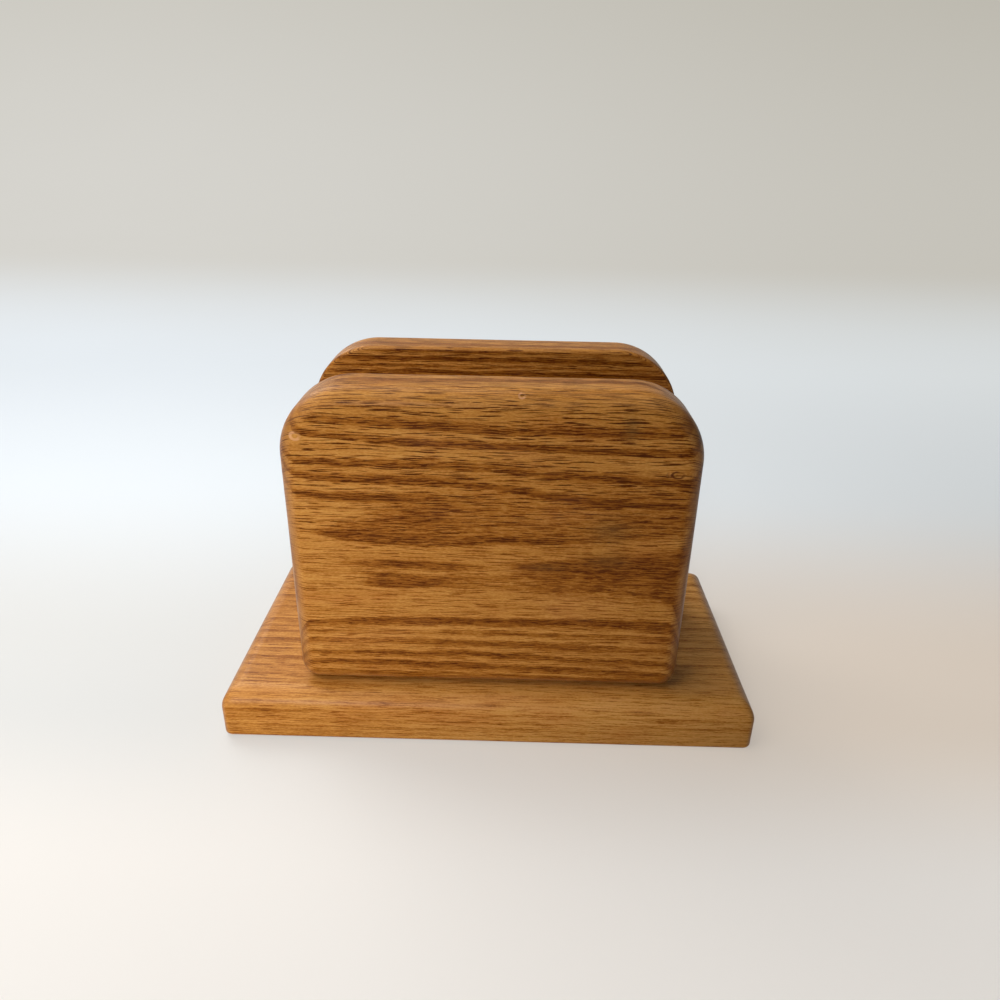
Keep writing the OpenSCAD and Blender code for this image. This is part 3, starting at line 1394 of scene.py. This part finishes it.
@dataclass
class Screws:
    """The four wood screws under the base, and the holes that they run in.

    A hole in the base is a straight pocket, a cone that seats the head, and the shank's
    hole. A bore in a panel's foot ends in a cone, of which bore_tip is the width left at
    its point, as a share. Every cut runs past the face that it leaves by overrun.
    """

    pocket_radius: float = 4.25 * MM
    pocket_depth: float = 1.73 * MM
    seat_height: float = 2.13 * MM
    shank_radius: float = 2.4 * MM
    bore_radius: float = 2.1 * MM
    bore_end: float = 39.5 * MM
    bore_cone: float = 1.26 * MM
    bore_tip: float = 0.05
    sides: int = 48
    overrun: float = 1.0 * MM
    places: Tuple[Tuple[float, float], ...] = (
        (-35.75 * MM, -31.7 * MM), (35.75 * MM, -31.7 * MM),
        (-35.75 * MM, 21.9 * MM), (35.75 * MM, 21.9 * MM),
    )
    nodes: Tuple[str, ...] = (
        "front_left_screw", "front_right_screw", "rear_left_screw", "rear_right_screw",
    )

    def _turned(
        self, profile: Sequence[Tuple[float, float]], x: float, y: float
    ) -> bpy.types.Object:
        """A turned cutter: a disc that is extruded and scaled up its profile.

        Args:
            profile: Radius and height of each ring, from below.
            x: Place of its centre line along X.
            y: Place of its centre line along Y.

        Returns:
            The cutter.
        """
        Bench.clear()
        radius, height = profile[0]
        bpy.ops.mesh.primitive_circle_add(
            vertices=self.sides, radius=radius, fill_type="NGON", location=(x, y, height)
        )
        cutter = bpy.context.object
        bpy.ops.object.transform_apply(location=True, rotation=True, scale=True)
        bpy.ops.object.mode_set(mode="EDIT")
        bpy.ops.mesh.select_all(action="SELECT")
        for next_radius, next_height in profile[1:]:
            share = next_radius / radius
            Bench.grow(next_height - height, (share, share), (x, y, next_height))
            radius, height = next_radius, next_height
        bpy.ops.mesh.select_all(action="SELECT")
        bpy.ops.mesh.normals_make_consistent(inside=False)
        Bench.clear()
        return cutter

    def drill_base(self, piece: bpy.types.Object, top: float) -> None:
        """Cuts the four stepped holes through the base.

        Args:
            piece: The base.
            top: Height of its top.
        """
        profile = (
            (self.pocket_radius, -self.overrun),
            (self.pocket_radius, self.pocket_depth),
            (self.shank_radius, self.pocket_depth + self.seat_height),
            (self.shank_radius, top + self.overrun),
        )
        for x, y in self.places:
            Bench.carve(piece, self._turned(profile, x, y))

    def drill_panel(self, piece: bpy.types.Object, foot: float, row: float) -> None:
        """Cuts the two blind bores in the foot of a panel.

        Args:
            piece: The panel.
            foot: Height of its foot.
            row: Place of its middle along Y, where its screws stand.
        """
        profile = (
            (self.bore_radius, foot - self.overrun),
            (self.bore_radius, self.bore_end),
            (self.bore_radius * self.bore_tip, self.bore_end + self.bore_cone),
        )
        for x, y in self.places:
            if abs(y - row) < MM:
                Bench.carve(piece, self._turned(profile, x, y))

    def dress(self, finish: ZincFinish) -> None:
        """Gives the screws of the frame their plating.

        Args:
            finish: The plating.
        """
        material = finish.material()
        for name in self.nodes:
            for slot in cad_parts[name].material_slots:
                slot.material = material
            LOG.info("%s: CAD screw, dressed in %s", name, finish.name)


@dataclass(kw_only=True)
class Board:
    """What the base and the panels have in common.

    The mesh is a grid as fine as pitch, which the waves of the sanding bend.
    """

    name: str
    node: str
    sawing: Sawing
    thickness: float = 19.0 * MM
    pitch: float = 2.0 * MM
    sanding: float = 0.12 * MM
    sanding_wave: float = 22.0 * MM

    def build(self, screws: Screws) -> bpy.types.Object:
        """Models the board.

        Args:
            screws: The screws whose holes it has.

        Returns:
            The finished mesh object.
        """
        raise NotImplementedError

    def install(self, screws: Screws) -> None:
        """Builds, dresses and hangs the board on its body.

        Args:
            screws: The screws whose holes it has.
        """
        piece = self.build(screws)
        Bench.dress(piece, OakFinish(self.sawing, f"oak_{self.node}").material())
        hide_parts(self.node)
        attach(piece, "root")
        LOG.info("%s: %d faces", self.name, len(piece.data.polygons))


@dataclass(frozen=True)
class Dent:
    """A knock in a board's face, in mm: its centre, its half sizes and how deep it goes."""

    x: float
    z: float
    half_x: float
    half_z: float
    depth: float


@dataclass(kw_only=True)
class Panel(Board):
    """One standing panel: a thick board with a full round-over on its outer face.

    Its foot stands on the base, so foot is a height above the table. Round each dent the
    mesh is made finer out to finer, and each of the steps sinks what lies within it, both
    in half sizes of the dent, wherever the surface looks outwards by facing or more.
    """

    face: Face
    outer_y: float
    width: float = 135.5 * MM
    height: float = 110.0 * MM
    foot: float = 19.0 * MM
    top_radius: float = 23.5 * MM
    foot_radius: float = 7.0 * MM
    round_over: float = 6.6 * MM
    ease: float = 1.5 * MM
    dents: Tuple[Dent, ...] = ()
    finer: Tuple[float, float] = (3.0, 2.0)
    steps: Tuple[float, ...] = (1.0, 0.75, 0.5)
    facing: float = 0.02

    def _knock(self, piece: bpy.types.Object, dent: Dent) -> None:
        """Presses one dent into the outer face, in steps from its rim inwards.

        Args:
            piece: The panel.
            dent: The dent.
        """
        side = self.face.value

        def within(reach: float, spot: Vector, normal: Vector) -> bool:
            """Tells the points of the outer face that are near the dent.

            Args:
                reach: How near, in half sizes of the dent.
                spot: The point.
                normal: Which way the surface looks there.

            Returns:
                Whether it is near enough.
            """
            off_x = (spot.x / MM - dent.x) / dent.half_x
            off_z = (spot.z / MM - dent.z) / dent.half_z
            return math.hypot(off_x, off_z) < reach and normal.y * side > self.facing

        Bench.take(piece)
        bpy.ops.object.mode_set(mode="EDIT")
        for reach in self.finer:
            Bench.pick_faces(piece, lambda centre, normal: within(reach, centre, normal))
            bpy.ops.mesh.subdivide(number_cuts=2)
        for reach in self.steps:
            bpy.ops.mesh.select_mode(type="VERT")
            bpy.ops.mesh.select_all(action="DESELECT")
            mesh = bmesh.from_edit_mesh(piece.data)
            for vertex in mesh.verts:
                if within(reach, vertex.co, vertex.normal):
                    vertex.select_set(True)
            mesh.select_flush_mode()
            bmesh.update_edit_mesh(piece.data)
            press = -side * dent.depth * MM / len(self.steps)
            bpy.ops.transform.translate(value=(0.0, press, 0.0))
        Bench.clear()

    def build(self, screws: Screws) -> bpy.types.Object:
        """Models the panel.

        Args:
            screws: The screws whose bores it has.

        Returns:
            The finished mesh object.
        """
        inner_y = self.outer_y - self.face.value * self.thickness
        low_y, high_y = sorted((self.outer_y, inner_y))
        half, top = self.width / 2, self.foot + self.height
        piece = Bench.block(self.name, (-half, low_y, self.foot), (half, high_y, top))

        def corners(height: float) -> Test:
            """Test for the two edges through the thickness at a height."""
            return lambda a, b: (
                abs(a.z - height) < NEAR and abs(b.z - height) < NEAR and abs(a.x - b.x) < NEAR
            )

        def rim(plane: float) -> Test:
            """Test for the edges that lie in the plane y = plane."""
            return lambda a, b: abs(a.y - plane) < NEAR and abs(b.y - plane) < NEAR

        for edges, radius, segments in (
            (corners(top), self.top_radius, 28),
            (corners(self.foot), self.foot_radius, 12),
            (rim(self.outer_y), self.round_over, 14),
            (rim(inner_y), self.ease, 6),
        ):
            Bench.pick_edges(piece, edges)
            Bench.round_over(radius, segments)
        Bench.slice_grid(Axis.X, -half, half, self.pitch)
        Bench.slice_grid(Axis.Z, self.foot, top, self.pitch)
        Bench.close(piece)
        screws.drill_panel(piece, self.foot, self.outer_y - self.face.value * self.thickness / 2)
        Bench.sand(piece, self.sanding, self.sanding_wave)
        for dent in self.dents:
            self._knock(piece, dent)
        Bench.close(piece)
        return piece


@dataclass(kw_only=True)
class BaseBoard(Board):
    """The base: a board with a round-over along its top and an eased foot.

    A face whose normal rises or falls by more than level is its top or its underside.
    """

    name: str = "oak_base"
    node: str = "base_board"
    pitch: float = 2.5 * MM
    sanding: float = 0.1 * MM
    sanding_wave: float = 26.0 * MM
    width: float = 190.5 * MM
    depth: float = 98.0 * MM
    round_over: float = 7.2 * MM
    ease: float = 1.6 * MM
    corner: float = 2.7 * MM
    level: float = 0.9

    def _rim(self, radius: float, sign: float, segments: int) -> None:
        """Draws the selected end face in along a quarter circle.

        Args:
            radius: The quarter circle's radius, in metres.
            sign: 1 upwards and -1 downwards.
            segments: How many steps the quarter circle takes.
        """
        base = self.thickness - self.round_over if sign > 0 else self.ease
        inset, rise = 0.0, 0.0
        for step in range(1, segments + 1):
            angle = math.pi / 2 * step / segments
            next_inset = radius * (1 - math.cos(angle))
            next_rise = radius * math.sin(angle)
            scale = tuple(
                (side / 2 - next_inset) / (side / 2 - inset) for side in (self.width, self.depth)
            )
            Bench.grow(sign * (next_rise - rise), scale, (0.0, 0.0, base + sign * next_rise))
            inset, rise = next_inset, next_rise

    def build(self, screws: Screws) -> bpy.types.Object:
        """Models the base.

        Args:
            screws: The screws whose holes it has.

        Returns:
            The finished mesh object.
        """
        half_x, half_y = self.width / 2, self.depth / 2
        shoulder = self.thickness - self.round_over
        piece = Bench.block(
            self.name, (-half_x, -half_y, self.ease), (half_x, half_y, shoulder)
        )
        Bench.pick_edges(piece, lambda a, b: abs(a.x - b.x) < NEAR and abs(a.y - b.y) < NEAR)
        Bench.round_over(self.corner, 8)
        Bench.pick_faces(piece, lambda centre, normal: normal.z > self.level)
        self._rim(self.round_over, 1.0, 14)
        Bench.pick_faces(piece, lambda centre, normal: normal.z < -self.level)
        self._rim(self.ease, -1.0, 6)
        Bench.slice_grid(Axis.X, -half_x, half_x, self.pitch)
        Bench.slice_grid(Axis.Y, -half_y, half_y, self.pitch)
        Bench.close(piece)
        screws.drill_base(piece, self.thickness)
        Bench.sand(piece, self.sanding, self.sanding_wave)
        Bench.close(piece)
        return piece


# Stage


@dataclass(frozen=True)
class Lamp:
    """One lamp of the studio, in metres and watts.

    With a cone, in degrees, it is a spot that fades towards its rim, else a square panel.
    """

    name: str
    size: float
    place: Point
    aim: Point
    power: float
    tint: Point
    cone: Optional[float] = None

    def hang(self) -> None:
        """Hangs the lamp and turns it to its aim."""
        if self.cone is None:
            data = bpy.data.lights.new(self.name, "AREA")
            data.size = self.size
        else:
            data = bpy.data.lights.new(self.name, "SPOT")
            data.spot_size = math.radians(self.cone)
            data.spot_blend = 1.0
            data.shadow_soft_size = self.size
        data.energy = self.power
        data.color = self.tint
        lamp = bpy.data.objects.new(self.name, data)
        bpy.context.scene.collection.objects.link(lamp)
        ahead = Vector(self.aim) - Vector(self.place)
        turn = ahead.to_track_quat("-Z", "Y").to_matrix().to_4x4()
        lamp.matrix_world = Matrix.Translation(self.place) @ turn
        lamp.visible_camera = False


@dataclass(frozen=True)
class Paper:
    """The pale backdrop paper: near the object partly lit and partly a painted glow, plain and
    shadowless far behind it.

    Fades whose names end in _x, _y or _z run along that axis, in mm, and glow_yz runs
    along the sum of Y and Z.
    """

    near: Colour = stain(221, 221, 219)
    # Painted shade: the near floor turns warmer and darker to the right, for the object's shadow
    # and the wood's warm bounce
    warm_shade: Colour = stain(225, 212, 198)
    # Painted light: the floor is paler in front of the object
    front: Colour = stain(239, 235, 230)
    far: Colour = stain(233, 239, 244)
    wall: Colour = stain(214, 212, 206)
    wall_top: Colour = stain(201, 198, 189)
    shade: Colour = stain(230, 228, 223)
    warm_shade_x: Fade = Fade(-150.0, 170.0)
    front_light_y: Fade = Fade(-30.0, -110.0)
    far_y: Fade = Fade(0.0, 220.0)
    wall_y: Fade = Fade(420.0, 1150.0)
    top_z: Fade = Fade(0.0, 900.0)
    close_y: Fade = Fade(170.0, 0.0)
    # How much of the paper is painted glow, near the object and far behind
    glow_yz: Fade = Fade(60.0, 480.0, 0.6, 1.0)
    # The shade grows to the right, by the place's angle from a point behind the camera
    shade_from: float = 500.0
    shade_share: Fade = Fade(-0.5, 0.6, 0.0, 0.8)
    grain_cells: float = 0.004
    grain_share: Fade = Fade(0.3, 0.7, 0.0, 0.04)

    def material(self) -> bpy.types.Material:
        """Builds the paper.

        Returns:
            The material.
        """
        graph = NodeGraph(bpy.data.materials.new("studio_paper"))
        x, y, z = place = graph.place()
        grain = graph.noise(graph.join(*(part * self.grain_cells for part in place)), 3.0)
        # Painted shade and warm bounce on the floor to the right of the object
        close = graph.blend(self.warm_shade_x.of(x), self.near, self.warm_shade)
        # Painted light on the floor in front of the object
        close = graph.blend(self.front_light_y.of(y), close, self.front)
        near = graph.blend(self.far_y.of(y), close, self.far)
        lit = graph.add("ShaderNodeBsdfDiffuse", None, {"Color": near})
        far = graph.blend(self.wall_y.of(y), self.far, self.wall)
        far = graph.blend(self.top_z.of(z), far, self.wall_top)
        side = self.shade_share.of(x / (y + self.shade_from))
        far = graph.blend(side, far, self.shade, "MULTIPLY")
        far = graph.blend(self.close_y.of(y), far, close)
        far = graph.blend(self.grain_share.of(grain), far, self.wall_top)
        glow = graph.add("ShaderNodeEmission", None, {"Color": far})
        path = graph.add("ShaderNodeLightPath")
        seen = graph.out(path, "Is Camera Ray").most(graph.out(path, "Is Glossy Ray"))
        # Painted light: the floor glows where the camera or a reflection sees it, by 0.6 near the
        # object
        share = seen * self.glow_yz.of(y + z)
        mix = {0: share, 1: graph.out(lit), 2: graph.out(glow)}
        mixed = graph.add("ShaderNodeMixShader", None, mix)
        graph.add("ShaderNodeOutputMaterial", None, {"Surface": graph.out(mixed)})
        return graph.owner


@dataclass
class Studio:
    """The pale floor and backdrop, the soft light and the camera.

    The camera's angles are in degrees, its focal length and frame in pixels of the
    photograph, and its sensor in mm. The floor ends in a bend up to the backdrop, and lies
    below the object by drop. The world's strength is sky, by direction along X, and more
    by backdrop where the camera sees it.
    """

    eye: Point = (5.712 * MM, -265.576 * MM, 198.825 * MM)
    yaw: float = -0.666
    pitch: float = 25.153
    roll: float = 1.076
    focal_pixels: float = 776.4
    frame_pixels: float = 1000.0
    sensor: float = 36.0
    clip_start: float = 10.0 * MM
    width: float = 8.0
    depth: float = 5.0
    rise: float = 4.0
    bend: float = 1.2
    drop: float = 0.1 * MM
    sky: Fade = Fade(0.7, -0.9, 0.01, 0.04)
    sky_tint: Colour = (0.97, 0.98, 1.0, 1.0)
    backdrop: float = 0.65
    # A spot that fades to the right, a broad lamp overhead on the left, and two behind
    lamps: Tuple[Lamp, ...] = (
        Lamp(
            "front", 0.2, (-0.38, -1.06, 0.48), (-0.22, -0.05, 0.03), 80.0,
            (1.0, 0.985, 0.96), cone=26.0,
        ),
        Lamp("ceiling", 0.6, (-0.5, -0.34, 0.95), (0.0, 0.0, 0.0), 4.2, (1.0, 0.95, 0.88)),
        Lamp("window", 0.6, (-0.6, 0.5, 0.65), (0.0, 0.0, 0.05), 5.0, (0.97, 0.985, 1.0)),
        Lamp("behind", 0.5, (-0.25, 0.25, 0.8), (0.0, 0.0, 0.05), 3.0, (1.0, 0.98, 0.95)),
    )

    def floor(self) -> None:
        """Models the floor, which runs up into a backdrop in one soft bend."""
        Bench.clear()
        bpy.ops.mesh.primitive_plane_add(size=1.0, location=(0.0, 0.0, -self.drop))
        sheet = bpy.context.object
        sheet.name = "studio_floor"
        sheet.scale = (self.width, self.depth, 1.0)
        bpy.ops.object.transform_apply(location=True, rotation=True, scale=True)
        bpy.ops.object.mode_set(mode="EDIT")
        far = self.depth / 2 - NEAR
        Bench.pick_edges(sheet, lambda a, b: min(a.y, b.y) > far)
        up = {"value": (0.0, 0.0, self.rise)}
        bpy.ops.mesh.extrude_region_move(TRANSFORM_OT_translate=up)
        Bench.pick_edges(sheet, lambda a, b: min(a.y, b.y) > far and max(a.z, b.z) < NEAR)
        Bench.round_over(self.bend, 24)
        Bench.clear()
        Bench.dress(sheet, Paper().material())
        sheet.data.shade_smooth()

    def world(self) -> None:
        """Sets the world: almost no light, and pale where the camera sees it."""
        graph = NodeGraph(bpy.data.worlds.new("studio_world"))
        coords = graph.add("ShaderNodeTexCoord")
        across = graph.split(graph.out(coords, "Generated"))[Axis.X.value]
        seen = graph.out(graph.add("ShaderNodeLightPath"), "Is Camera Ray")
        strength = seen * self.backdrop + self.sky.of(across)
        sockets = {"Color": self.sky_tint, "Strength": strength}
        background = graph.add("ShaderNodeBackground", None, sockets)
        graph.add("ShaderNodeOutputWorld", None, {"Surface": graph.out(background)})
        bpy.context.scene.world = graph.owner

    def camera(self) -> None:
        """Sets the camera to the photograph's angle."""
        yaw, pitch, roll = (math.radians(angle) for angle in (self.yaw, self.pitch, self.roll))
        ahead = Vector((
            math.sin(yaw) * math.cos(pitch), math.cos(yaw) * math.cos(pitch), -math.sin(pitch)
        ))
        level = Vector((math.cos(yaw), -math.sin(yaw), 0.0))
        lift = level.cross(ahead)
        right = level * math.cos(roll) + lift * math.sin(roll)
        up = lift * math.cos(roll) - level * math.sin(roll)
        data = bpy.data.cameras.new("photo_camera")
        data.sensor_width = self.sensor
        data.lens = self.sensor * self.focal_pixels / self.frame_pixels
        data.clip_start = self.clip_start
        camera = bpy.data.objects.new("photo_camera", data)
        bpy.context.scene.collection.objects.link(camera)
        turn = Matrix((right, up, -ahead)).transposed()
        camera.matrix_world = Matrix.Translation(self.eye) @ turn.to_4x4()
        bpy.context.scene.camera = camera

    def install(self) -> None:
        """Sets up floor, light, camera and view."""
        self.floor()
        self.world()
        for lamp in self.lamps:
            lamp.hang()
        self.camera()
        bpy.context.scene.view_settings.view_transform = "Standard"
        LOG.info("studio: floor, %d lamps and camera", len(self.lamps))


def main() -> None:
    """Builds the pieces in order and reports each one."""
    logging.basicConfig(level=logging.INFO, format="%(message)s")
    cuts = BoardCuts()
    screws = Screws()
    BaseBoard(sawing=cuts.base).install(screws)
    Panel(
        name="oak_front_panel", node="front_panel", face=Face.FRONT, sawing=cuts.front,
        outer_y=cuts.front.deep_zero * MM,
        dents=(Dent(9.2, 127.2, 1.2, 0.5, 0.35), Dent(55.8, 103.4, 0.7, 1.2, 0.3)),
    ).install(screws)
    Panel(
        name="oak_rear_panel", node="rear_panel", face=Face.REAR, sawing=cuts.rear,
        outer_y=cuts.rear.deep_zero * MM, dents=(Dent(-31.0, 74.0, 1.0, 0.5, 0.25),),
    ).install(screws)
    screws.dress(ZincFinish())
    Studio().install()
    Bench.clear()


if __name__ == "__main__":
    main()
